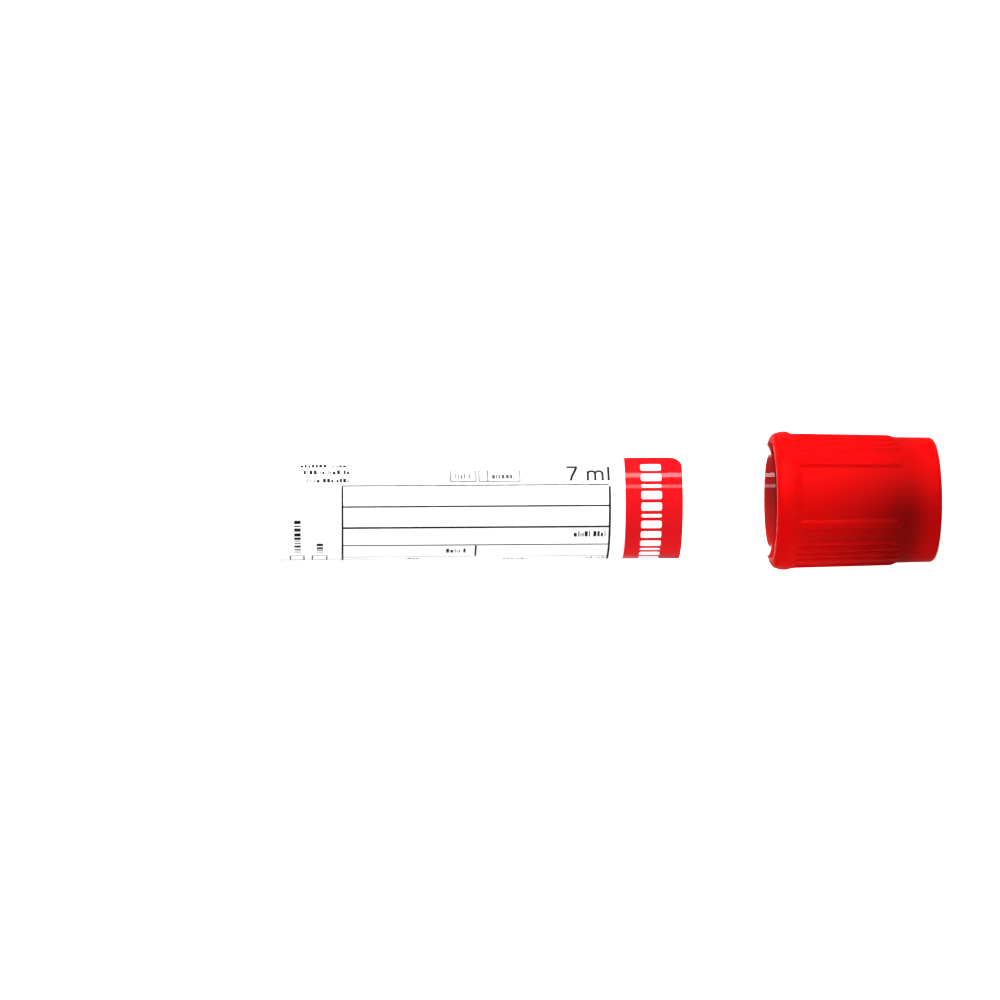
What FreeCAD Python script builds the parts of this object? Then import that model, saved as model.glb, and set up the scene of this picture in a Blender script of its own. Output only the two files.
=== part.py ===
"""Evacuated blood collection tube, 13 x 100 mm, with a hooded safety closure.

The tube stands on its closure: Z = 0 is the closure's flat top ring and +Z runs along the
tube's axis to its round end. The front of the closure and of the label faces -Y.
All lengths are in millimetres and all angles in degrees.
"""
import FreeCAD
import Part
import math
import os
from FreeCAD import Vector

# Tube
TUBE_OD = 13.0
TUBE_WALL = 1.1
TUBE_LENGTH = 100.0
RIM_CHAMFER = 0.25

# Closure hood, outside
CAP_CLEARANCE = 0.15        # radial, hood bore to tube
CAP_WALL = 0.53             # hood wall at the top ring
CAP_DRAFT = 0.36            # radius gained from the top ring to the collar
COLLAR_START = 16.3         # distance of the collar from the top ring
COLLAR_LENGTH = 2.6
COLLAR_WALL = 1.35
COLLAR_CHAMFER = 0.25
LIP_TAPER_START = 1.0       # length of straight collar before it draws in
LIP_TAPER = 0.3             # radius lost by the time it reaches the lip's end
LIP_ROUND = 0.9
TOP_CHAMFER = 0.4

# Closure hood, inside
WELL_INSET = 1.3            # the well's radius is this much less than the tube's
WELL_DEPTH = 3.4
WELL_CHAMFER = 0.4
LEDGE_THICKNESS = 1.0
LEDGE_WIDTH = 1.3
BORE_LEAD_IN = 0.25

# Grip ribs: equal groups with a plain panel between them
GROUPS = 3
PANEL_ANGLE = 50.0
PANEL_TURN = 6.7            # from -Y towards +X to the middle of the front panel
RIB_START = 4.2
RIB_RAMP = 1.0              # axial length over which a rib rises
RIB_POINT = 0.7             # axial length of a rib's pointed start
RIB_HEIGHT = 0.27
RIB_EDGE_CHAMFER = 0.08
BORDER_RIB_WIDTH = 0.9
FINE_RIBS = 4
FINE_RIB_WIDTH = 0.55
FINE_RIB_PITCH = 8.4

# Stopper
HEAD_HEIGHT = 1.8           # above the ledge
HEAD_CLEARANCE = 0.4        # radial, head to well
HEAD_CHAMFER = 0.3
DISH_RADIUS = 2.6
DISH_DEPTH = 0.45
NECK_CLEARANCE = 0.05       # radial, neck to ledge
FLANGE_THICKNESS = 2.2
FLANGE_CLEARANCE = 0.1      # radial, flange to hood bore
PLUG_LENGTH = 7.0
PLUG_CLEARANCE = 0.05       # radial, plug to tube bore
PLUG_LEAD_IN = 0.7
RELIEF_WALL = 2.2           # rubber left round the hollow in the plug
RELIEF_DEPTH = 4.6
RELIEF_TAPER = 1.2          # radius lost from the hollow's mouth to its floor

# Label
LABEL_THICKNESS = 0.1
LABEL_CLEARANCE = 0.01      # radial, adhesive between label and tube
LABEL_LENGTH = 46.0
LABEL_SETBACK = 10.7        # distance of the label from the collar's lip
LABEL_WRAP = 290.0
LABEL_EDGE_TURN = 49.3      # from -Y towards +X to the label's first edge
LABEL_CORNER_ROUND = 1.0

# Worked out from the sizes above
TUBE_R = TUBE_OD / 2
BORE_R = TUBE_R - TUBE_WALL
CAP_BORE_R = TUBE_R + CAP_CLEARANCE
CAP_TOP_R = CAP_BORE_R + CAP_WALL
CAP_LENGTH = COLLAR_START + COLLAR_LENGTH
COLLAR_R = CAP_BORE_R + COLLAR_WALL
WELL_R = TUBE_R - WELL_INSET
LEDGE_R = WELL_R - LEDGE_WIDTH
LEDGE_END = WELL_DEPTH + LEDGE_THICKNESS
MOUTH_Z = LEDGE_END + FLANGE_THICKNESS
LABEL_START = CAP_LENGTH + LABEL_SETBACK
UP = Vector(0, 0, 1)


def spun(edges, turn=360.0):
    """Solid made by turning a closed profile in the XZ plane about the Z axis."""
    face = Part.Face(Part.Wire(edges))
    return face.revolve(Vector(0, 0, 0), UP, turn)


def outline(points):
    """Straight edges through (radius, height) points, from the first to the last."""
    corners = [Vector(radius, 0, height) for radius, height in points]
    return [Part.makeLine(a, b) for a, b in zip(corners, corners[1:])]


def ring_edges(shape, radius, height):
    """Circular edges of a shape that lie at one radius and height."""
    found = []
    for edge in shape.Edges:
        if edge.Degenerated or not isinstance(edge.Curve, Part.Circle):
            continue
        if abs(edge.Curve.Radius - radius) < 1e-4 and abs(edge.Curve.Center.z - height) < 1e-4:
            found.append(edge)
    return found


def body_radius(height):
    """Outside radius of the hood's drafted wall at one height."""
    return CAP_TOP_R + CAP_DRAFT * height / COLLAR_START


def front_angle(turn):
    """Angle about Z, from +X, of a line turned from the front (-Y) towards +X."""
    return turn - 90.0


def make_tube():
    """Straight tube with a hemispherical end and a bevelled mouth."""
    straight_end = MOUTH_Z + TUBE_LENGTH - TUBE_R
    sides = [
        Part.makeLine(Vector(BORE_R, 0, straight_end), Vector(BORE_R, 0, MOUTH_Z)),
        Part.makeLine(Vector(BORE_R, 0, MOUTH_Z), Vector(TUBE_R, 0, MOUTH_Z)),
        Part.makeLine(Vector(TUBE_R, 0, MOUTH_Z), Vector(TUBE_R, 0, straight_end)),
        quarter_arc(TUBE_R, straight_end),
        Part.makeLine(Vector(0, 0, straight_end + TUBE_R), Vector(0, 0, straight_end + BORE_R)),
        quarter_arc(BORE_R, straight_end),
    ]
    tube = spun(sides)
    rims = ring_edges(tube, TUBE_R, MOUTH_Z) + ring_edges(tube, BORE_R, MOUTH_Z)
    return tube.makeChamfer(RIM_CHAMFER, rims)


def quarter_arc(radius, height):
    """Quarter circle about the axis point at one height, from the side to the far pole."""
    half = radius * math.sqrt(0.5)
    side = Vector(radius, 0, height)
    middle = Vector(half, 0, height + half)
    pole = Vector(0, 0, height + radius)
    return Part.Arc(side, middle, pole).toShape()


def make_hood_body():
    """Hood without ribs: top ring, drafted wall, collar with rounded lip, well and ledge."""
    lip_r = COLLAR_R - LIP_TAPER
    hood = spun(outline([
        (WELL_R, 0),
        (CAP_TOP_R, 0),
        (body_radius(COLLAR_START), COLLAR_START),
        (COLLAR_R, COLLAR_START),
        (COLLAR_R, COLLAR_START + LIP_TAPER_START),
        (lip_r, CAP_LENGTH),
        (CAP_BORE_R, CAP_LENGTH),
        (CAP_BORE_R, LEDGE_END),
        (LEDGE_R, LEDGE_END),
        (LEDGE_R, WELL_DEPTH),
        (WELL_R, WELL_DEPTH),
        (WELL_R, 0),
    ]))
    hood = hood.makeFillet(LIP_ROUND, ring_edges(hood, lip_r, CAP_LENGTH))
    hood = hood.makeChamfer(TOP_CHAMFER, ring_edges(hood, CAP_TOP_R, 0))
    hood = hood.makeChamfer(BORE_LEAD_IN, ring_edges(hood, CAP_BORE_R, CAP_LENGTH))
    hood = hood.makeChamfer(WELL_CHAMFER, ring_edges(hood, WELL_R, 0))
    return hood.makeChamfer(COLLAR_CHAMFER, ring_edges(hood, COLLAR_R, COLLAR_START))


def make_rib_envelope():
    """Spun body whose outside is the crown line that every rib shares."""
    crown_start = RIB_START + RIB_RAMP
    root = CAP_BORE_R + (CAP_TOP_R - CAP_BORE_R) / 2
    return spun(outline([
        (root, RIB_START),
        (body_radius(RIB_START), RIB_START),
        (body_radius(crown_start) + RIB_HEIGHT, crown_start),
        (body_radius(COLLAR_START) + RIB_HEIGHT, COLLAR_START),
        (root, COLLAR_START),
        (root, RIB_START),
    ]))


def make_rib(width, envelope):
    """One rib along +X: a bar with a pointed start, cut to the crown line and bevelled."""
    half = width / 2
    plan = Part.makePolygon([
        Vector(0, 0, RIB_START),
        Vector(0, half, RIB_START + RIB_POINT),
        Vector(0, half, COLLAR_START),
        Vector(0, -half, COLLAR_START),
        Vector(0, -half, RIB_START + RIB_POINT),
        Vector(0, 0, RIB_START),
    ])
    bar = Part.Face(plan).extrude(Vector(COLLAR_R, 0, 0))
    rib = bar.common(envelope)
    crown = []
    for edge in rib.Edges:
        middle = edge.valueAt((edge.FirstParameter + edge.LastParameter) / 2)
        crown_r = body_radius(middle.z) + RIB_HEIGHT
        along = abs(edge.Vertexes[0].Z - edge.Vertexes[-1].Z) > width
        if along and abs(math.hypot(middle.x, middle.y) - crown_r) < RIB_HEIGHT / 10:
            crown.append(edge)
    return rib.makeChamfer(RIB_EDGE_CHAMFER, crown)


def rib_places():
    """Width and turn from the middle of the front panel of each rib of the first group."""
    group_angle = 360.0 / GROUPS - PANEL_ANGLE
    group_middle = 180.0 / GROUPS
    crown_r = body_radius(RIB_START + RIB_RAMP) + RIB_HEIGHT
    border_half = math.degrees(math.asin(BORDER_RIB_WIDTH / 2 / crown_r))
    border_turn = group_angle / 2 - border_half
    first_fine = -FINE_RIB_PITCH * (FINE_RIBS - 1) / 2
    places = [(BORDER_RIB_WIDTH, group_middle - border_turn)]
    for count in range(FINE_RIBS):
        places.append((FINE_RIB_WIDTH, group_middle + first_fine + count * FINE_RIB_PITCH))
    places.append((BORDER_RIB_WIDTH, group_middle + border_turn))
    return places


def make_safety_cap():
    """Hood with its groups of grip ribs."""
    envelope = make_rib_envelope()
    patterns = {width: make_rib(width, envelope) for width in (BORDER_RIB_WIDTH, FINE_RIB_WIDTH)}
    ribs = []
    for group in range(GROUPS):
        for width, turn in rib_places():
            rib = patterns[width].copy()
            angle = front_angle(PANEL_TURN) + turn + group * 360.0 / GROUPS
            rib.rotate(Vector(0, 0, 0), UP, angle)
            ribs.append(rib)
    return make_hood_body().fuse(ribs).removeSplitter()


def make_rubber_stopper():
    """Stopper: dished head, neck through the ledge, flange on the rim, hollow plug in the bore."""
    head_r = WELL_R - HEAD_CLEARANCE
    neck_r = LEDGE_R - NECK_CLEARANCE
    flange_r = CAP_BORE_R - FLANGE_CLEARANCE
    plug_r = BORE_R - PLUG_CLEARANCE
    head_top = WELL_DEPTH - HEAD_HEIGHT
    plug_end = MOUTH_Z + PLUG_LENGTH
    stopper = spun(outline([
        (0, head_top),
        (head_r - HEAD_CHAMFER, head_top),
        (head_r, head_top + HEAD_CHAMFER),
        (head_r, WELL_DEPTH),
        (neck_r, WELL_DEPTH),
        (neck_r, LEDGE_END),
        (flange_r, LEDGE_END),
        (flange_r, MOUTH_Z),
        (plug_r, MOUTH_Z),
        (plug_r, plug_end - PLUG_LEAD_IN),
        (plug_r - PLUG_LEAD_IN / 2, plug_end),
        (0, plug_end),
        (0, head_top),
    ]))
    relief_r = plug_r - RELIEF_WALL
    relief_tip_r = relief_r - RELIEF_TAPER
    relief = Part.makeCone(relief_r, relief_tip_r, RELIEF_DEPTH, Vector(0, 0, plug_end), -UP)
    dish = Part.makeCone(DISH_RADIUS, 0, DISH_DEPTH, Vector(0, 0, head_top), UP)
    return stopper.cut([relief, dish])


def make_label():
    """Film label bent round the tube, with rounded corners."""
    inner_r = TUBE_R + LABEL_CLEARANCE
    outer_r = inner_r + LABEL_THICKNESS
    label_end = LABEL_START + LABEL_LENGTH
    label = spun(outline([
        (inner_r, LABEL_START),
        (outer_r, LABEL_START),
        (outer_r, label_end),
        (inner_r, label_end),
        (inner_r, LABEL_START),
    ]), LABEL_WRAP)
    corners = [edge for edge in label.Edges if abs(edge.Length - LABEL_THICKNESS) < 1e-4]
    label = label.makeFillet(LABEL_CORNER_ROUND, corners)
    label.rotate(Vector(0, 0, 0), UP, front_angle(LABEL_EDGE_TURN) - LABEL_WRAP)
    return label


def main():
    os.makedirs("parts", exist_ok=True)
    pieces = {
        "safety_cap": make_safety_cap(),
        "rubber_stopper": make_rubber_stopper(),
        "tube": make_tube(),
        "label": make_label(),
    }
    for name, shape in pieces.items():
        shape.exportStep(f"parts/{name}.step")


main()
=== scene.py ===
import math

import bpy
import numpy as np
from mathutils import Matrix, Vector


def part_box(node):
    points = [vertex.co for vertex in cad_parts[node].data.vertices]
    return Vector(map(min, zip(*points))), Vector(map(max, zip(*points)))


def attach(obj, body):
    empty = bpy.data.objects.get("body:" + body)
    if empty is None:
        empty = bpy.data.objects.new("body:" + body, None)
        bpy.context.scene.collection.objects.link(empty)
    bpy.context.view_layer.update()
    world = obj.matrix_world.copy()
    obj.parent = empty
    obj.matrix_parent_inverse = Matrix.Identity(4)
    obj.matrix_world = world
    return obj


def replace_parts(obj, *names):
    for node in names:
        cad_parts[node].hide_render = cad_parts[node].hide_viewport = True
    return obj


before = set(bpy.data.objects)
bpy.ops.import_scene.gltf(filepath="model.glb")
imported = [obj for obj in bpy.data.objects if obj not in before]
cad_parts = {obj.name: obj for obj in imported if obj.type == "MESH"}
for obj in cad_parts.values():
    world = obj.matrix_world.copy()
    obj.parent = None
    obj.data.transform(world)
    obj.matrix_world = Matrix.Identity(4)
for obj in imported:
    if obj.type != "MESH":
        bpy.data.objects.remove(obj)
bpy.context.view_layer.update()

MM = 0.001


def box_in_mm(name):
    """Lowest and highest corner of a CAD node at rest, in millimetres."""
    return [np.array(corner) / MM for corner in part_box(name)]


# Sizes in millimetres. A radius is from the tube's axis, and a height along it from the hood's top ring.
# A turn is in degrees about the axis, from the front (-Y) towards +X.
hood_high = box_in_mm("safety_cap")[1]
tube_low, tube_high = box_in_mm("tube")
stopper_low, stopper_high = box_in_mm("rubber_stopper")
label_low, label_high = box_in_mm("label")

# Tube
TUBE_R = tube_high[0]
TUBE_MOUTH = tube_low[2]
TUBE_END = tube_high[2]
TUBE_WALL = 1.1
BORE_R = TUBE_R - TUBE_WALL
RIM_ROUND = 0.3

# Hood: drafted wall, shoulder, plain band with a tapered lip, and a well and a ledge for the stopper
HOOD_LENGTH = hood_high[2]
HOOD_BORE_R = TUBE_R + 0.15
HOOD_TOP_R = 7.18
HOOD_DRAFT = 0.36
SHOULDER = 16.3
SHOULDER_START = SHOULDER - 0.25
BAND_R = hood_high[0]
BAND_START = SHOULDER + 0.75
BAND_STOP = SHOULDER + 1.3
LIP_TAPER = 0.3
WELL_R = 5.2
WELL_DEPTH = 3.4
LEDGE_R = 3.9
LEDGE_END = 4.4

# Grip ribs: three groups of two border ribs and four fine ones
GROUP_TURNS = 6.7 + 60 + np.array([0, 120, 240])
BORDER_TURN = 31.6
FINE_PITCH = 8.4
BORDER_WIDTH = 0.9
FINE_WIDTH = 0.55
BORDER_FLANK = 0.34
FINE_FLANK = 0.5
BORDER_HEIGHT = 0.27
FINE_HEIGHT = 0.2
RIB_START = 4.2
RIB_RISE = 1.0
RIB_POINT = 0.9

# Stopper: a dished head in the well, a neck through the ledge, a flange on the rim, and a hollow plug
HEAD_R = WELL_R - 0.4
NECK_R = LEDGE_R - 0.05
PLUG_R = BORE_R - 0.05
DISH_R = 2.6
DISH_DEPTH = 0.45
HOLLOW_R = PLUG_R - 2.2
HOLLOW_DEPTH = 4.6
HOLLOW_TAPER = 0.82
HOLLOW_DOME = 1.6

# Label: a film with a red band along its first edge, and print over it as thin pieces. The film is open
# towards +X, so its radius is read off at -X
LABEL_R = -label_low[0]
LABEL_FILM = 0.1
LABEL_START = label_low[2]
LABEL_END = label_high[2]
LABEL_EDGE = 49.3
LABEL_WRAP = 290.0
LABEL_CORNER = 1.4
BAND_END = 36.15
PRINT_R = LABEL_R + 0.006
INK_DEPTH = 0.005

# Data panel: the heights of its ends and of its last row's divider, and the turns of its rules
TABLE_NEAR, TABLE_FAR = 37.92, 68.26
RULES = [17.2, -3.7, -25.2, -46.9, -68.4, -91.0]
DIVIDER = 53.1


# ---------------------------------------------------------------- surfaces

def place(radius, height, turn):
    """Points at a radius and height, turned about the axis: (r sin t, -r cos t, z), in millimetres."""
    angle = np.radians(turn)
    return np.stack(np.broadcast_arrays(radius * np.sin(angle), -radius * np.cos(angle), height), axis=-1)


def skin(rows, columns, shut_rows=False, shut_columns=False):
    """Corner numbers of the four-sided faces of a grid of points, row by row.

    shut_rows joins the last row to the first one, and shut_columns the last column to the first."""
    row = np.arange(rows if shut_rows else rows - 1)[:, None]
    column = np.arange(columns if shut_columns else columns - 1)[None, :]
    next_row = (row + 1) % rows
    next_column = (column + 1) % columns
    corners = [row * columns + column, row * columns + next_column,
               next_row * columns + next_column, next_row * columns + column]
    return np.stack(corners, axis=-1).reshape(-1, 4)


def mesh_piece(name, points, faces, body, material):
    """A smooth mesh object from points in millimetres, riding on a body and finished in a material."""
    mesh = bpy.data.meshes.new(name)
    mesh.from_pydata((points.reshape(-1, 3) * MM).tolist(), [], faces)
    mesh.polygons.foreach_set("use_smooth", np.ones(len(mesh.polygons), dtype=bool))
    mesh.materials.append(material)
    mesh.update()
    piece = bpy.data.objects.new(name, mesh)
    bpy.context.scene.collection.objects.link(piece)
    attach(piece, body)
    return piece


def rounded(section, steps=7, hold=0.03):
    """Path through (radius, height, rounding) corners, each replaced by the arc that touches both its sides.

    With A and B the touching points, P the corner and w the sine of half its opening, the arc is
    ((1-t)^2 A + 2t(1-t) w P + t^2 B) / ((1-t)^2 + 2t(1-t) w + t^2). hold is a short straight
    piece kept on both sides of an arc, so that the flats beside it stay flat."""
    corner, rounding = np.split(np.array(section, float), [2], axis=1)
    back = np.roll(corner, 1, axis=0) - corner
    ahead = np.roll(corner, -1, axis=0) - corner
    back /= np.linalg.norm(back, axis=1, keepdims=True)
    ahead /= np.linalg.norm(ahead, axis=1, keepdims=True)
    half = np.arccos(np.clip((back * ahead).sum(axis=1, keepdims=True), -1, 1)) / 2
    reach = rounding / np.tan(half)
    t = np.linspace(0, 1, steps)[None, :, None]
    weights = [(1 - t) ** 2, 2 * t * (1 - t) * np.sin(half)[:, None], t ** 2]
    touching = [corner + back * reach, corner, corner + ahead * reach]
    arc = sum(w * p[:, None] for w, p in zip(weights, touching)) / sum(weights)
    held = np.minimum(rounding, hold)
    before, after = (touching[0] + back * held)[:, None], (touching[2] + ahead * held)[:, None]
    path = np.concatenate([before, arc, after], axis=1).reshape(-1, 2)
    step = np.linalg.norm(np.diff(path, axis=0), axis=1)
    return path[np.concatenate([[True], step > 1e-6])]


def spun(name, path, turns, body, material):
    """Surface of a path of (radius, height) points turned about the axis.

    A path that starts or ends on the axis gets a single point there. Any other path is a closed loop."""
    poled = path[0, 0] < 1e-9
    rings = path[1:-1] if poled else path
    points = place(rings[:, :1], rings[:, 1:], turns[None, :])
    rows, columns = points.shape[:2]
    faces = skin(rows, columns, shut_rows=not poled, shut_columns=True).tolist()
    points = points.reshape(-1, 3)
    if poled:
        column = np.arange(columns)
        beside = (column + 1) % columns
        first = np.stack([np.full(columns, len(points)), beside, column], axis=1)
        last = np.stack([column, beside, np.full(columns, len(points) + 1)], axis=1)
        last[:, :2] += (rows - 1) * columns
        poles = [[0, 0, path[0, 1]], [0, 0, path[-1, 1]]]
        points = np.concatenate([points, poles])
        faces += first.tolist() + last.tolist()
    return mesh_piece(name, points, faces, body, material)


def ease(value):
    """Smooth step from 0 to 1: 3v^2 - 2v^3 of the value held between 0 and 1."""
    value = np.clip(value, 0, 1)
    return value * value * (3 - 2 * value)


def thickened(piece, depth):
    """Gives a sheet its thickness in millimetres, inwards from its face, and returns it."""
    wall = piece.modifiers.new("thickness", "SOLIDIFY")
    wall.thickness = depth * MM
    wall.offset = -1
    return piece


# ---------------------------------------------------------------- hood

def wall_radius(height):
    """Radius of the hood's drafted wall between its ribs."""
    return HOOD_TOP_R + HOOD_DRAFT * height / SHOULDER


def wall_heights():
    """Heights of the wall's rings, closest together where the ribs rise out of it."""
    start = ease(np.linspace(0, 1, 9)) * (RIB_POINT + RIB_RISE) + RIB_START - 0.1
    close = np.linspace(RIB_START - 0.1, RIB_START + 1.6, 18)
    above = np.linspace(start[-1], SHOULDER - 0.5, 24)
    return np.unique(np.concatenate([[1.2, 2.4], start, close, above]))


def hood_path():
    """Closed section of the hood: along the outside, over the lip, and back past the ledge into the well."""
    return rounded([
        (WELL_R, 0, 0.45), (HOOD_TOP_R, 0, 0.55),
        *[(wall_radius(height), height, 0) for height in wall_heights()],
        (wall_radius(SHOULDER), SHOULDER_START, 0.8), (BAND_R, BAND_START, 0.8), (BAND_R, BAND_STOP, 0.5),
        (BAND_R - LIP_TAPER, HOOD_LENGTH, 0.85), (HOOD_BORE_R, HOOD_LENGTH, 0.25),
        (HOOD_BORE_R, LEDGE_END, 0.3), (LEDGE_R, LEDGE_END, 0.2), (LEDGE_R, WELL_DEPTH, 0.15),
        (WELL_R, WELL_DEPTH, 0.25)])


def rib_layout():
    """Of each rib: the turn of its centre line, half its width, the width of its flanks, and its height."""
    fine_turns = FINE_PITCH * np.array([-1.5, -0.5, 0.5, 1.5])
    turns = GROUP_TURNS[:, None] + np.array([-BORDER_TURN, *fine_turns, BORDER_TURN])
    halves, flanks, heights = [
        np.tile([border, fine, fine, fine, fine, border], 3) for border, fine in (
            (BORDER_WIDTH / 2, FINE_WIDTH / 2), (BORDER_FLANK, FINE_FLANK), (BORDER_HEIGHT, FINE_HEIGHT))]
    return turns.ravel(), halves, flanks, heights


def millimetres_apart(turns, centres):
    """Distance along the hood's top circle from each turn to each centre, the shorter way round."""
    return np.abs((turns[:, None] - centres + 180) % 360 - 180) * np.radians(HOOD_TOP_R)


def hood(material):
    """Hood spun from its section, with ribs raised on the wall.

    A rib stands ease(rise) * height proud where the distance from its centre line is less than its
    half width, which grows from nothing as a quarter circle at the rib's start. Where the shoulder
    already stands further out than the ribs, the shoulder wins."""
    centres, halves, flanks, heights = rib_layout()
    over_rib = np.degrees((halves + 0.52 * flanks) / HOOD_TOP_R)[:, None] * np.linspace(-1, 1, 17)
    even = np.arange(0, 360, 2.0)
    even = even[(millimetres_apart(even, centres) > halves + 0.8 * flanks).all(axis=1)]
    turns = np.sort(np.concatenate([even, (centres[:, None] + over_rib).ravel() % 360]))
    path = hood_path()
    radius, height = path[:, 0][:, None, None], path[:, 1][:, None, None]
    opened = np.clip((height - RIB_START) / RIB_POINT, 0, 1)
    half = halves * np.sqrt(1 - (1 - opened) ** 2)
    flank = ease((half - millimetres_apart(turns, centres)[None]) / flanks + 0.5)
    proud = heights * flank * ease((height - RIB_START) / RIB_RISE)
    crown = wall_radius(height) + proud.max(axis=2, keepdims=True)
    outside = (radius > HOOD_TOP_R - 0.01) & (height > RIB_START) & (height < SHOULDER + 0.6)
    radius = np.where(outside, np.maximum(radius, crown), radius)[:, :, 0]
    points = place(radius, path[:, 1:], turns[None, :])
    faces = skin(len(path), len(turns), shut_rows=True, shut_columns=True).tolist()
    piece = mesh_piece("hood", points, faces, "closure", material)
    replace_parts(piece, "safety_cap")
    return piece


def stopper(material):
    """Stopper spun from its section: dished head, neck, flange, plug, and a domed hollow in the plug's end.

    The dish is DISH_DEPTH * (1 - ease(share of its radius)) deep. The hollow ends in a quarter ellipse."""
    head_top, plug_end, flange_r = stopper_low[2], stopper_high[2], stopper_high[0]
    spread = np.linspace(0, 1, 9)
    turn = np.linspace(0, 0.5 * math.pi, 13)
    dome_r, dome_start = HOLLOW_R * HOLLOW_TAPER, plug_end - HOLLOW_DEPTH
    dish = np.stack([DISH_R * spread, head_top + DISH_DEPTH * (1 - ease(spread))], axis=1)
    outside = rounded([
        (DISH_R + 0.4, head_top, 0), (HEAD_R, head_top, 0.45), (HEAD_R, WELL_DEPTH, 0.15),
        (NECK_R, WELL_DEPTH, 0.1), (NECK_R, LEDGE_END, 0.1), (flange_r, LEDGE_END, 0.3),
        (flange_r, TUBE_MOUTH, 0.3), (PLUG_R, TUBE_MOUTH, 0.15), (PLUG_R, plug_end - 0.9, 0.5),
        (PLUG_R - 0.4, plug_end, 0.3), (HOLLOW_R, plug_end, 0.3), (dome_r, plug_end - 2, 0)])
    dome = np.stack([dome_r * np.cos(turn), dome_start + HOLLOW_DOME * (1 - np.sin(turn))], axis=1)
    path = np.concatenate([dish, outside, dome])
    path[-1, 0] = 0
    turns = np.linspace(0, 360, 160, endpoint=False)
    piece = spun("stopper", path, turns, "closure", material)
    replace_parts(piece, "rubber_stopper")
    return piece


def clear_tube(material):
    """Tube spun from its wall's section: half spheres inside and outside, and a rounded mouth."""
    straight_end = TUBE_END - TUBE_R
    down = np.linspace(0.5 * math.pi, 0, 33)[:, None]
    inner, outer = [np.concatenate([r * np.cos(down), straight_end + r * np.sin(down)], axis=1)
                    for r in (BORE_R, TUBE_R)]
    mouth = rounded([(BORE_R, straight_end - 1, 0), (BORE_R, TUBE_MOUTH, RIM_ROUND),
                     (TUBE_R, TUBE_MOUTH, RIM_ROUND), (TUBE_R, straight_end - 1, 0)])
    path = np.concatenate([inner, mouth, outer[::-1]])
    path[[0, -1], 0] = 0
    turns = np.linspace(0, 360, 192, endpoint=False)
    piece = spun("clear_tube", path, turns, "labelled_tube", material)
    piece.visible_shadow = False
    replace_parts(piece, "tube")
    return piece


# ---------------------------------------------------------------- label and its print

def wrapped(fields, radius=PRINT_R, corner=0.0, down=None, across=9):
    """Rounded rectangles lying on a cylinder, one for each row (turn from, turn to, height from, height to).

    Turn and height are put in growing order, so that every field faces outwards. Height runs evenly, or
    by the shares in down. At a distance d from a field's end that is less than the corner radius c, each
    side draws in by c - sqrt(c^2 - (c-d)^2)."""
    field = np.sort(np.array(fields, float).reshape(-1, 2, 2), axis=2).reshape(-1, 4)
    first, last, low, high = field.T[:, :, None, None]
    if down is None:
        down = 0.5 - 0.5 * np.cos(np.linspace(0, math.pi, 9 if corner else 2))
    height = low + (high - low) * np.array(down)[None, :, None]
    inside = np.clip(corner - np.minimum(height - low, high - height), 0, corner)
    drawn_in = np.degrees((corner - np.sqrt(corner ** 2 - inside ** 2)) / radius)
    half = (last - first) / 2 - drawn_in
    return place(radius, height, (first + last) / 2 + half * np.linspace(-1, 1, across))


def print_piece(name, points, material):
    """One thin closed object for many patches of print, each a grid of points [patch, row, column]."""
    patches, rows, columns = points.shape[:3]
    faces = skin(rows, columns)[None] + np.arange(patches)[:, None, None] * rows * columns
    piece = mesh_piece(name, points, faces.reshape(-1, 4).tolist(), "labelled_tube", material)
    return thickened(piece, INK_DEPTH)


def label(film, band):
    """Film bent round the tube, with rounded corners and a thickness inwards, white with a red band."""
    ends = 0.5 - 0.5 * np.cos(np.linspace(0, 0.5 * math.pi, 12))
    length = LABEL_END - LABEL_START
    near = ends * 2 * LABEL_CORNER / length
    share = (BAND_END - LABEL_START) / length
    middle = [np.linspace(near[-1], share, 8), np.linspace(share, 1 - near[-1], 24)]
    down = np.unique(np.concatenate([near, 1 - near, *middle]))
    field = (LABEL_EDGE - LABEL_WRAP, LABEL_EDGE, LABEL_START, LABEL_END)
    points = wrapped([field], LABEL_R, LABEL_CORNER, down, 181)
    faces = skin(*points.shape[1:3]).tolist()
    piece = mesh_piece("label_sheet", points, faces, "labelled_tube", film)
    piece.data.materials.append(band)
    centres = np.zeros(len(piece.data.polygons) * 3)
    piece.data.polygons.foreach_get("center", centres)
    in_band = centres.reshape(-1, 3)[:, 2] < BAND_END * MM
    piece.data.polygons.foreach_set("material_index", in_band.astype(np.int32))
    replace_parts(thickened(piece, LABEL_FILM), "label")
    return piece


def line_around(height, width, turn_from, turn_to):
    """Field of a line that runs round the tube."""
    return (turn_from, turn_to, height - width / 2, height + width / 2)


def line_along(turn, width, height_from=TABLE_NEAR, height_to=TABLE_FAR):
    """Field of a line that runs along the tube. Its width is in millimetres."""
    half = math.degrees(width / 2 / LABEL_R)
    return (turn - half, turn + half, height_from, height_to)


def table_print(black, grey):
    """Ruled data panel: side lines, the divider of the last row's cells, heavy rules and light rules."""
    top, bottom = RULES[0], RULES[-1]
    sides = [line_around(TABLE_FAR, 0.215, bottom, top), line_around(TABLE_NEAR, 0.245, bottom, top - 1.5)]
    divider = [line_around(DIVIDER, 0.22, RULES[4] + 1, RULES[3] - 1)]
    heavy = [line_along(RULES[rule], width) for rule, width in ((1, 0.18), (2, 0.225), (3, 0.17), (5, 0.19))]
    light = [line_along(top, 0.15, TABLE_NEAR + 0.1), line_along(RULES[4], 0.1)]
    print_piece("table_sides", wrapped(sides, across=49), black)
    print_piece("table_divider", wrapped(divider, across=13), black)
    print_piece("table_heavy_rules", wrapped(heavy, across=3), black)
    print_piece("table_light_rules", wrapped(light, across=3), grey)


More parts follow.
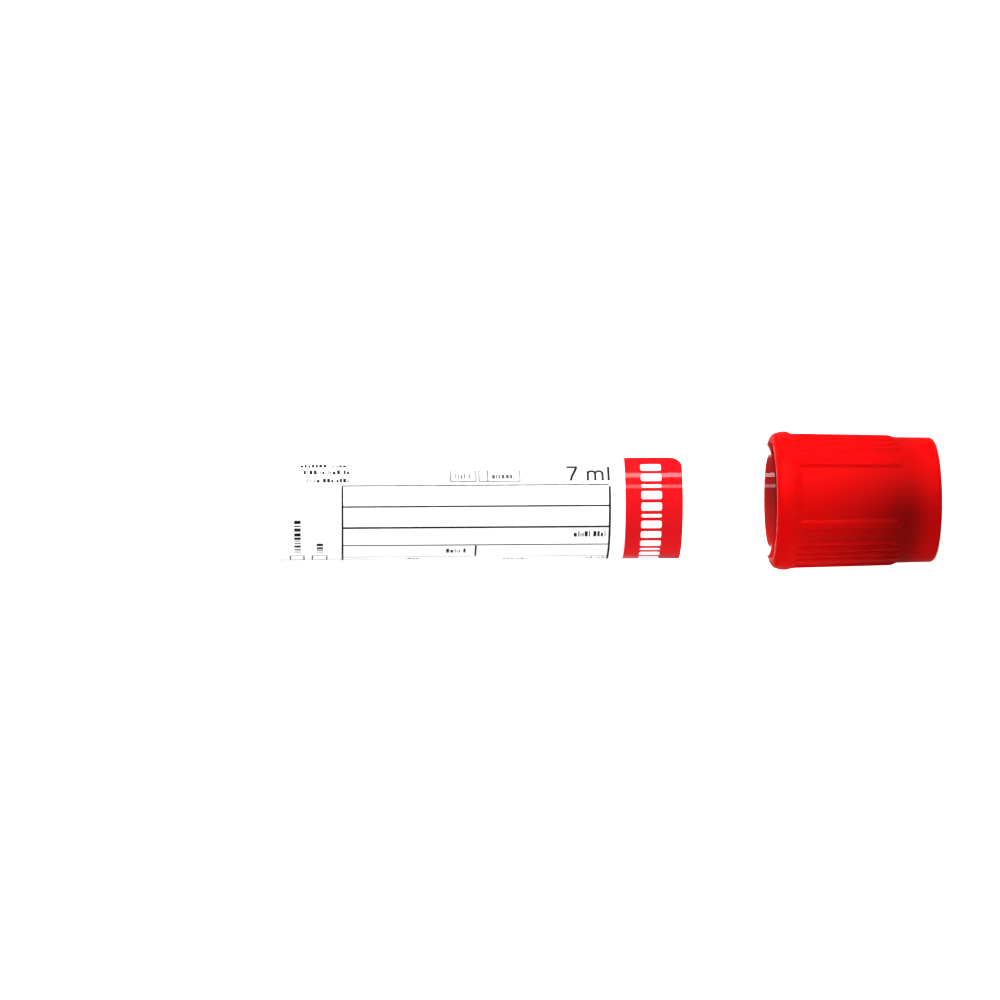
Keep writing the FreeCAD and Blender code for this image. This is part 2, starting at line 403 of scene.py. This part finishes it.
def volume_print(black):
    """Nominal volume, a seven and two small letters, in plain strokes of one weight.

    Each stroke is a path of (right, up) points. An arch is half an ellipse on a straight leg."""
    height, low_height, arch_foot, weight = 1.76, 1.22, 0.86, 0.29
    first, second, last = 2.42, 3.26, 4.78
    span = np.linspace(0, math.pi, 13)
    arch = np.stack([0.42 - 0.42 * np.cos(span), arch_foot + 0.34 * np.sin(span)], axis=1)
    strokes = [
        [(0.0, height), (1.24, height)],
        [(1.16, height), (0.98, 1.3), (0.64, 0.62), (0.46, 0.0)],
        [(first, low_height), (first, 0.0)],
        [*(arch + [first, 0]), (second, 0.0)],
        [*(arch + [second, 0]), (second + 0.84, 0.0)],
        [(last, height + 0.05), (last, 0.0)],
    ]
    sheets = [widened(np.array(stroke), weight) for stroke in strokes]
    sizes = [sheet.shape[0] * sheet.shape[1] for sheet in sheets]
    starts = np.cumsum([0, *sizes[:-1]])
    points = np.concatenate([sheet.reshape(-1, 3) for sheet in sheets])
    faces = sum([(skin(*sheet.shape[:2]) + start).tolist() for sheet, start in zip(sheets, starts)], [])
    piece = mesh_piece("volume_mark", points, faces, "labelled_tube", black)
    return thickened(piece, INK_DEPTH)


def widened(path, width, origin=(21.4, 42.8)):
    """A flat stroke of one width along a path of (right, up) points, laid on the label from (turn, height).

    Both edges stand off by half the width along the path's normal. Right is -Z, and up is a growing turn."""
    share = np.linspace(0, 1, 1 + 8 * (len(path) - 1)) * (len(path) - 1)
    path = np.stack([np.interp(share, np.arange(len(path)), path[:, k]) for k in (0, 1)], axis=1)
    along = np.gradient(path, axis=0)
    along /= np.linalg.norm(along, axis=1, keepdims=True)
    normal = np.stack([along[:, 1], -along[:, 0]], axis=1) * width / 2
    edges = np.stack([path - normal, path + normal], axis=1)
    turn = origin[0] + np.degrees(edges[..., 1] / LABEL_R)
    return place(PRINT_R, origin[1] - edges[..., 0], turn)


def small_print(black, grey):
    """Small print stood for by rows of plain marks: upright dashes of mixed widths, spaced like words."""
    dice = np.random.default_rng(7)
    most = 40

    def row(height_from, height_to, turn, tall):
        """Marks between two heights whose foot is at a turn, up to tall millimetres high."""
        widths = dice.choice([0.1, 0.14, 0.26, 0.34], most)
        gaps = dice.choice([0.12, 0.14, 0.16, 0.38], most, p=[0.3, 0.3, 0.25, 0.15])
        left = np.cumsum(widths + gaps) - widths
        keep = left + widths < height_from - height_to
        top = turn + np.degrees(tall * dice.choice([0.7, 1.0], most) / LABEL_R)
        foot, high = np.full(most, turn), height_from - left
        return np.stack([foot, top, high, high - widths], axis=1)[keep]

    def column(height_from, height_to, turn_from, turn_to):
        """Marks that run down round the tube between two turns. Their widths are in degrees."""
        widths = dice.choice([1.0, 1.4, 3.0, 3.6], most)
        gaps = dice.choice([1.2, 1.6, 2.0], most)
        left = np.cumsum(widths + gaps) - widths
        keep = left + widths < turn_from - turn_to
        low, high = np.full(most, height_from), np.full(most, height_to)
        return np.stack([turn_from - left - widths, turn_from - left, low, high], axis=1)[keep]

    dark = np.concatenate([
        row(73.1, 66.95, 38.0, 0.44), row(73.0, 66.95, 29.8, 0.55), row(72.6, 67.4, 20.9, 0.48),
        row(42.1, 38.2, -36.6, 0.72), row(56.6, 53.6, -59.6, 0.8),
        column(73.0, 73.73, -15.8, -60.6), column(70.46, 71.2, -42.1, -58.8)])
    pale = np.concatenate([
        row(55.6, 53.6, 24.0, 0.7), row(52.4, 51.9, 24.0, 0.6), row(51.4, 48.6, 24.0, 0.5),
        row(61.66, 59.1, -76.5, 0.5), row(50.0, 46.7, -78.5, 0.5), row(40.5, 38.0, -75.5, 0.4)])
    print_piece("small_marks", wrapped(dark, across=3), black)
    print_piece("small_pale_marks", wrapped(pale, across=3), grey)


def tick_boxes(grey):
    """Three empty tick boxes in a row, and the two small boxes under the upright marks."""
    upright, level, heavy_level = 0.15, 0.1, 0.13
    low, high = 21.3, 32.7
    uprights = [line_around(height, upright, low, high) for height in (56.0, 53.1, 52.75, 51.75, 48.1)]
    levels = []
    for near, far in ((53.1, 56.0), (48.1, 52.75)):
        levels += [line_along(low, heavy_level, near, far), line_along(high, level, near, far)]
    low, high = -77.0, -64.0
    for near, far in ((72.65, 74.2), (70.05, 71.7)):
        uprights += [line_around(height, upright, low, high) for height in (near, far)]
        levels += [line_along(turn, level, near, far) for turn in (high, low)]
    print_piece("tick_box_sides", wrapped(uprights, across=7), grey)
    print_piece("tick_box_edges", wrapped(levels, across=3), grey)


def band_bars(white):
    """Row of plain rounded bars across the red band, broad and narrow in turn."""
    count, broad, narrow, gap = 17, 8.0, 3.4, 3.4
    widths = np.tile([broad, broad, narrow, broad, broad, narrow, broad], 3)[:count]
    start = 39.8 - np.concatenate([[0], np.cumsum(widths + gap)[:-1]])
    fields = np.stack([start - widths, start, np.full(count, 32.0), np.full(count, 34.35)], axis=1)
    return print_piece("band_bars", wrapped(fields, corner=0.18, across=7), white)


# ---------------------------------------------------------------- finishes

def node(tree, kind, **settings):
    """A shader node of one kind, with its settings."""
    made = tree.nodes.new("ShaderNode" + kind)
    for name, value in settings.items():
        setattr(made, name, value)
    return made


def wire(tree, source, target):
    """Joins an output socket to an input socket."""
    tree.links.new(source, target)


def maths(tree, operation, first, second):
    """Math node of two sockets. A difference is held between 0 and 1."""
    made = node(tree, "Math", operation=operation, use_clamp=operation == "SUBTRACT")
    wire(tree, first, made.inputs[0])
    wire(tree, second, made.inputs[1])
    return made.outputs[0]


def ramp(tree, source, stops):
    """Colour ramp from a value through (position, colour) stops."""
    made = node(tree, "ValToRGB")
    elements = made.color_ramp.elements
    while len(elements) < len(stops):
        elements.new(0.5)
    for element, (position, colour) in zip(elements, stops):
        element.position = position
        element.color = (*colour, 1)
    wire(tree, source, made.inputs["Fac"])
    return made.outputs["Color"]


def grey_ramp(tree, source, stops):
    """Ramp from a value through (position, grey) stops."""
    return ramp(tree, source, [(position, (grey, grey, grey)) for position, grey in stops])


def spread_over(tree, source, low, high, to_low=0.0, to_high=1.0):
    """Map Range from one span of values to another, held at its ends."""
    made = node(tree, "MapRange")
    for name, value in (("From Min", low), ("From Max", high), ("To Min", to_low), ("To Max", to_high)):
        made.inputs[name].default_value = value
    wire(tree, source, made.inputs["Value"])
    return made.outputs["Result"]


def blended(tree, share, first, second):
    """Value between two by a share socket. Either value may be a number or a socket."""
    made = node(tree, "Mix", data_type="FLOAT")
    wire(tree, share, made.inputs[0])
    for socket, value in ((made.inputs[2], first), (made.inputs[3], second)):
        if isinstance(value, float):
            socket.default_value = value
        else:
            wire(tree, value, socket)
    return made.outputs[0]


def new_group(name, inputs, outputs):
    """An empty shader node group with named sockets: inputs (name, kind, value) and outputs (name, kind)."""
    group = bpy.data.node_groups.new(name, "ShaderNodeTree")
    for label_text, kind, value in inputs:
        socket = group.interface.new_socket(label_text, in_out="INPUT", socket_type="NodeSocket" + kind)
        if value is not None:
            socket.default_value = value
    for label_text, kind in outputs:
        group.interface.new_socket(label_text, in_out="OUTPUT", socket_type="NodeSocket" + kind)
    return group, group.nodes.new("NodeGroupInput"), group.nodes.new("NodeGroupOutput")


def fine_relief_group():
    """Moulded or coated surface texture: a fine grain over a slow unevenness, both in Object coordinates."""
    group, given, result = new_group(
        "fine_relief",
        [("Vector", "Vector", None), ("Grain Scale", "Float", 2500.0),
         ("Swell Scale", "Float", 180.0), ("Grain Share", "Float", 0.5)],
        [("Height", "Float"), ("Mask", "Float")])
    grain = node(group, "TexNoise")
    swell = node(group, "TexNoise")
    for texture, scale, detail in ((grain, "Grain Scale", 3.0), (swell, "Swell Scale", 2.0)):
        texture.inputs["Detail"].default_value = detail
        wire(group, given.outputs["Vector"], texture.inputs["Vector"])
        wire(group, given.outputs[scale], texture.inputs["Scale"])
    height = blended(group, given.outputs["Grain Share"], swell.outputs["Fac"], grain.outputs["Fac"])
    wire(group, height, result.inputs["Height"])
    wire(group, swell.outputs["Fac"], result.inputs["Mask"])
    return group


def handling_group():
    """Faint marks of handling: thin scuffs along the piece and soft smudges, as masks from 0 to 1."""
    group, given, result = new_group(
        "handling_marks",
        [("Vector", "Vector", None), ("Scuff Scale", "Float", 300.0), ("Smudge Scale", "Float", 90.0)],
        [("Scuffs", "Float"), ("Smudges", "Float")])
    stretch = node(group, "Mapping")
    stretch.inputs["Scale"].default_value = (1.0, 1.0, 0.06)
    wire(group, given.outputs["Vector"], stretch.inputs["Vector"])
    scuff = node(group, "TexNoise")
    smudge = node(group, "TexNoise")
    scuff.inputs["Detail"].default_value = 5.0
    smudge.inputs["Detail"].default_value = 3.0
    wire(group, stretch.outputs["Vector"], scuff.inputs["Vector"])
    wire(group, given.outputs["Vector"], smudge.inputs["Vector"])
    wire(group, given.outputs["Scuff Scale"], scuff.inputs["Scale"])
    wire(group, given.outputs["Smudge Scale"], smudge.inputs["Scale"])
    wire(group, spread_over(group, scuff.outputs["Fac"], 0.58, 0.72), result.inputs["Scuffs"])
    wire(group, spread_over(group, smudge.outputs["Fac"], 0.45, 0.7), result.inputs["Smudges"])
    return group


class Finish:
    """A material with its Principled shader, Object coordinates, and the two shared groups ready to wire."""

    def __init__(self, name, relief, marks, **values):
        self.material = bpy.data.materials.new(name)
        self.material.use_nodes = True
        self.tree = self.material.node_tree
        self.shader = self.tree.nodes["Principled BSDF"]
        for socket, value in values.items():
            self.shader.inputs[socket.replace("_", " ")].default_value = value
        self.place = node(self.tree, "TexCoord").outputs["Object"]
        self.relief = self.shared("fine_relief", relief)
        self.marks = self.shared("handling_marks", marks)

    def shared(self, name, values):
        """One of the shared groups, on Object coordinates, with this material's own values."""
        made = node(self.tree, "Group", node_tree=bpy.data.node_groups[name])
        for socket, value in values.items():
            made.inputs[socket.replace("_", " ")].default_value = value
        wire(self.tree, self.place, made.inputs["Vector"])
        return made

    def rough(self, low, high):
        """Roughness that rises from low to high where smudges lie."""
        roughness = spread_over(self.tree, self.marks.outputs["Smudges"], 0, 1, low, high)
        wire(self.tree, roughness, self.shader.inputs["Roughness"])

    def bump(self, distance):
        """Relief from the shared group, its full height in metres."""
        made = node(self.tree, "Bump")
        made.inputs["Distance"].default_value = distance
        wire(self.tree, self.relief.outputs["Height"], made.inputs["Height"])
        wire(self.tree, made.outputs["Normal"], self.shader.inputs["Normal"])

    def tint(self, share, first, second):
        """Base colour mixed from two colours or sockets by a share socket."""
        wire(self.tree, self.mix(share, first, second), self.shader.inputs["Base Color"])

    def mix(self, share, first, second):
        """Colour mixed from two colours or sockets by a share socket."""
        made = node(self.tree, "Mix", data_type="RGBA")
        wire(self.tree, share, made.inputs[0])
        for socket, value in ((made.inputs[6], first), (made.inputs[7], second)):
            if isinstance(value, tuple):
                socket.default_value = (*value, 1)
            else:
                wire(self.tree, value, socket)
        return made.outputs[2]


def red_plastic():
    """Satin red hood plastic, a little see-through, with painted shade in its base colour.

    The depth is a ramp along the hood: partly the dark stopper seen through the wall, partly painted shade.
    It is weakened towards +X, so that the -X side, away from the key lamp, is painted darker. A faint painted
    shade is added along the -X edge."""
    finish = Finish("red_hood_plastic", {"Grain_Scale": 3200.0, "Swell_Scale": 160.0, "Grain_Share": 0.6},
                    {"Scuff_Scale": 500.0, "Smudge_Scale": 120.0},
                    Specular_IOR_Level=0.06, Subsurface_Weight=0.6, Subsurface_Scale=0.001,
                    Subsurface_Radius=(1.5, 0.06, 0.05))
    tree = finish.tree
    split = node(tree, "SeparateXYZ")
    wire(tree, finish.place, split.inputs[0])
    along = spread_over(tree, split.outputs["Z"], 0, HOOD_LENGTH * MM)
    # Depth of the dark tint along the hood: partly the stopper seen through the wall, partly painted shade.
    depth = grey_ramp(tree, along, [
        (0.0, 0.38), (0.08, 0.45), (0.14, 0.62), (0.2, 0.74), (0.26, 0.72), (0.33, 0.63),
        (0.42, 0.48), (0.52, 0.37), (0.62, 0.28), (0.72, 0.20), (0.86, 0.14), (1.0, 0.12)])
    # Painted shade: the tint is weakened towards +X, the lit side, and full on the -X side.
    painted_side_shade = spread_over(tree, split.outputs["X"], -0.0015, 0.0035, 1.0, 0.48)
    # Painted shade: an extra dark band along the -X edge, over the middle of the hood.
    edge = spread_over(tree, split.outputs["X"], -0.0022, -0.0042)
    edge_shade_depth = grey_ramp(tree, along, [(0.3, 0.0), (0.45, 0.09), (0.8, 0.08), (0.93, 0.0)])
    behind = maths(tree, "MULTIPLY", depth, painted_side_shade)
    stopper_and_painted_shade = maths(tree, "ADD", behind, maths(tree, "MULTIPLY", edge, edge_shade_depth))
    clean = finish.mix(finish.marks.outputs["Scuffs"], (0.60, 0.0003, 0.0003), (0.63, 0.0006, 0.0006))
    # Base colour darkened by the stopper behind the wall and by painted shade.
    finish.tint(stopper_and_painted_shade, clean, (0.01, 0.0002, 0.0002))
    finish.rough(0.36, 0.48)
    finish.bump(0.000006)
    return finish.material


def rubber():
    """Dark grey rubber with a pale bloom."""
    finish = Finish("stopper_rubber", {"Grain_Scale": 2200.0, "Swell_Scale": 300.0, "Grain_Share": 0.7},
                    {"Scuff_Scale": 700.0, "Smudge_Scale": 260.0}, Specular_IOR_Level=0.3)
    finish.tint(finish.marks.outputs["Smudges"], (0.035, 0.03, 0.03), (0.075, 0.068, 0.066))
    finish.rough(0.62, 0.8)
    finish.bump(0.00002)
    return finish.material


def clear_plastic():
    """Clear tube plastic with the faintest unevenness of a moulded wall."""
    finish = Finish("clear_tube_plastic", {"Grain_Scale": 1800.0, "Swell_Scale": 110.0, "Grain_Share": 0.04},
                    {"Scuff_Scale": 420.0, "Smudge_Scale": 70.0}, Transmission_Weight=1.0, IOR=1.5)
    finish.tint(finish.marks.outputs["Scuffs"], (0.985, 0.992, 0.992), (0.96, 0.968, 0.97))
    finish.rough(0.0, 0.03)
    finish.bump(0.000004)
    return finish.material


def film(name, clean, aged):
    """Glossy printed film: one ground colour with a slight unevenness of the coating."""
    finish = Finish(name, {"Grain_Scale": 2600.0, "Swell_Scale": 240.0, "Grain_Share": 0.15},
                    {"Scuff_Scale": 600.0, "Smudge_Scale": 140.0}, Specular_IOR_Level=0.5)
    finish.tint(finish.marks.outputs["Smudges"], clean, aged)
    finish.rough(0.04, 0.09)
    finish.bump(0.000004)
    return finish.material


def ink(name, solid, thin):
    """Printing ink, thinner in places where the grain of the film shows through."""
    finish = Finish(name, {"Grain_Scale": 5200.0, "Swell_Scale": 900.0, "Grain_Share": 0.6},
                    {"Scuff_Scale": 900.0, "Smudge_Scale": 1500.0}, Specular_IOR_Level=0.4)
    finish.tint(spread_over(finish.tree, finish.relief.outputs["Mask"], 0.5, 0.75), solid, thin)
    finish.rough(0.28, 0.42)
    finish.bump(0.000003)
    return finish.material


# ---------------------------------------------------------------- studio

LOOK_AT = Vector((0, 0, 0.053))


def lamp(name, turn, height, distance, across, along, white, shown=False):
    """Area lamp that gives a white surface facing it the radiance white: power = white * pi^2 * distance^2.

    across and along are its sides, the second one along the tube. A lamp that is shown in gloss stands
    upright, and any other one faces LOOK_AT."""
    data = bpy.data.lights.new(name, "AREA")
    data.shape = "RECTANGLE"
    data.size, data.size_y = across, along
    data.energy = white * math.pi ** 2 * distance ** 2
    made = bpy.data.objects.new(name, data)
    bpy.context.scene.collection.objects.link(made)
    angle = math.radians(turn)
    made.location = Vector((distance * math.sin(angle), -distance * math.cos(angle), height))
    aim = Vector((0, 0, height)) if shown else LOOK_AT
    made.rotation_euler = (aim - made.location).to_track_quat("-Z", "Y").to_euler()
    made.visible_glossy = shown
    made.visible_camera = False
    made.visible_transmission = False
    return made


def studio_lamps():
    """Soft panels all round, and narrow upright strips that show as streaks in gloss."""
    lamp("key_panel", 74, 0.16, 0.8, 0.5, 0.6, 1.8)
    lamp("front_panel", 6, 0.1, 0.9, 0.5, 0.5, 0.19)
    lamp("fill_panel", -62, 0.08, 0.9, 0.5, 0.5, 0.5)
    lamp("back_panel", 190, 0.2, 0.9, 0.5, 0.5, 0.2)
    lamp("strip_high", 53, 0.102, 0.15, 0.024, 0.2, 0.4, shown=True)
    lamp("strip_low", 29.5, 0.102, 0.15, 0.017, 0.2, 0.16, shown=True)
    lamp("strip_back", 165, 0.102, 0.15, 0.016, 0.2, 0.06, shown=True)
    lamp("low_panel", -94, 0.09, 0.8, 0.4, 0.5, 0.46)


def seen_rays(tree, front):
    """1 for rays that come straight from the camera or through clear plastic, and 1 for rays off a gloss.

    Where front is 1, a ray that a clear wall has thrown back counts as one off a gloss."""
    path = node(tree, "LightPath").outputs
    thrown = maths(tree, "MULTIPLY", spread_over(tree, path["Glossy Depth"], 0.4, 0.6), front)
    through = maths(tree, "SUBTRACT", path["Is Transmission Ray"], thrown)
    seen = maths(tree, "MAXIMUM", path["Is Camera Ray"], through)
    either = maths(tree, "MAXIMUM", path["Is Glossy Ray"], path["Is Transmission Ray"])
    return seen, maths(tree, "SUBTRACT", either, seen)


def surroundings():
    """White room, brighter behind the object, that gives only a dim grey to gloss, except straight behind."""
    world = bpy.data.worlds.new("white_room")
    world.use_nodes = True
    tree = world.node_tree
    background = tree.nodes["Background"]
    background.inputs["Color"].default_value = (1, 1, 1, 1)
    split = node(tree, "SeparateXYZ")
    wire(tree, node(tree, "TexCoord").outputs["Generated"], split.inputs[0])
    seen, gloss = seen_rays(tree, spread_over(tree, split.outputs["Y"], 0.6, 0.35))
    white = spread_over(tree, split.outputs["Y"], 0.2, 0.9, 1.1, 3.0)
    low = spread_over(tree, split.outputs["X"], -0.6, 0.2, 0.05, 0.16)
    dim = blended(tree, spread_over(tree, split.outputs["Y"], 0.93, 0.985), low, 1.0)
    soft = spread_over(tree, split.outputs["Y"], 0.0, 0.6, 0.6, 0.4)
    wire(tree, blended(tree, seen, blended(tree, gloss, soft, dim), white), background.inputs["Strength"])
    bpy.context.scene.world = world


def mixed_shader(tree, share, first, second):
    """Shader between two shaders by a share socket."""
    made = node(tree, "MixShader")
    for socket, source in zip(made.inputs, (share, first, second)):
        wire(tree, source, socket)
    return made.outputs[0]


def emission(tree, strength):
    """White emission of a strength socket."""
    made = node(tree, "Emission")
    wire(tree, strength, made.inputs["Strength"])
    return made.outputs[0]


def white_board():
    """Slightly speckled white board that glows where it is seen, and gives only a dim grey to gloss."""
    material = bpy.data.materials.new("white_board")
    material.use_nodes = True
    tree = material.node_tree
    shader = tree.nodes["Principled BSDF"]
    shader.inputs["Roughness"].default_value = 0.7
    shader.inputs["Specular IOR Level"].default_value = 0.1
    coordinates = node(tree, "TexCoord").outputs["Object"]
    speckle = node(tree, "TexNoise")
    speckle.inputs["Scale"].default_value = 40.0
    wire(tree, coordinates, speckle.inputs["Vector"])
    colour = grey_ramp(tree, speckle.outputs["Fac"], [(0.3, 0.84), (0.7, 0.87)])
    wire(tree, colour, shader.inputs["Base Color"])
    split = node(tree, "SeparateXYZ")
    wire(tree, coordinates, split.inputs[0])
    behind = split.outputs["Y"]
    seen, gloss = seen_rays(tree, spread_over(tree, behind, 0.1, 0.05))
    glow = emission(tree, spread_over(tree, behind, 0.05, 0.25, 0.6, 2.2))
    dim = emission(tree, spread_over(tree, behind, 0.3, 0.6, 0.16, 1.0))
    bright = node(tree, "AddShader")
    wire(tree, shader.outputs[0], bright.inputs[0])
    wire(tree, glow, bright.inputs[1])
    lit = mixed_shader(tree, seen, shader.outputs[0], bright.outputs[0])
    wire(tree, mixed_shader(tree, gloss, lit, dim), tree.nodes["Material Output"].inputs["Surface"])
    return material


def pale_floor():
    """Plain white floor: a disc 4 m in radius, made of a ring of four-sided faces and a middle one."""
    turns = np.linspace(0, 360, 96, endpoint=False)
    points = place(np.array([[5.0], [4000.0]]), np.zeros((2, 1)), turns[None, :])
    faces = skin(2, len(turns), shut_columns=True)[:, ::-1].tolist() + [list(range(len(turns)))]
    mesh = bpy.data.meshes.new("floor")
    mesh.from_pydata((points.reshape(-1, 3) * MM).tolist(), [], faces)
    mesh.materials.append(white_board())
    floor = bpy.data.objects.new("floor", mesh)
    bpy.context.scene.collection.objects.link(floor)


def camera():
    """Camera at the front, level with the upper part of the tube, turned on its side so that +X is up."""
    data = bpy.data.cameras.new("studio_camera")
    data.lens = 140.7
    data.clip_start = 0.01
    made = bpy.data.objects.new("studio_camera", data)
    bpy.context.scene.collection.objects.link(made)
    yaw, roll = math.radians(2.69), math.radians(-0.35)
    forward = Vector((0, math.cos(yaw), -math.sin(yaw)))
    level = forward.cross(Vector((1, 0, 0))).normalized()
    rise = level.cross(forward)
    right = math.cos(roll) * level + math.sin(roll) * rise
    up = math.cos(roll) * rise - math.sin(roll) * level
    turned = Matrix((right, up, -forward)).transposed().to_4x4()
    made.matrix_world = Matrix.Translation((0.000265, -0.449, 0.0712)) @ turned
    bpy.context.scene.camera = made


fine_relief_group()
handling_group()
hood(red_plastic())
stopper(rubber())
clear_tube(clear_plastic())
label(film("white_label_film", (0.97, 0.975, 0.975), (0.945, 0.945, 0.935)),
      film("red_label_band", (0.62, 0.002, 0.006), (0.56, 0.003, 0.006)))
black_ink = ink("black_ink", (0.004, 0.004, 0.004), (0.03, 0.03, 0.03))
grey_ink = ink("grey_ink", (0.05, 0.05, 0.05), (0.28, 0.28, 0.28))
table_print(black_ink, grey_ink)
volume_print(black_ink)
small_print(black_ink, grey_ink)
tick_boxes(grey_ink)
band_bars(film("white_bar_ink", (0.96, 0.96, 0.96), (0.92, 0.91, 0.91)))
studio_lamps()
surroundings()
pale_floor()
camera()
bpy.context.scene.view_settings.view_transform = "Standard"
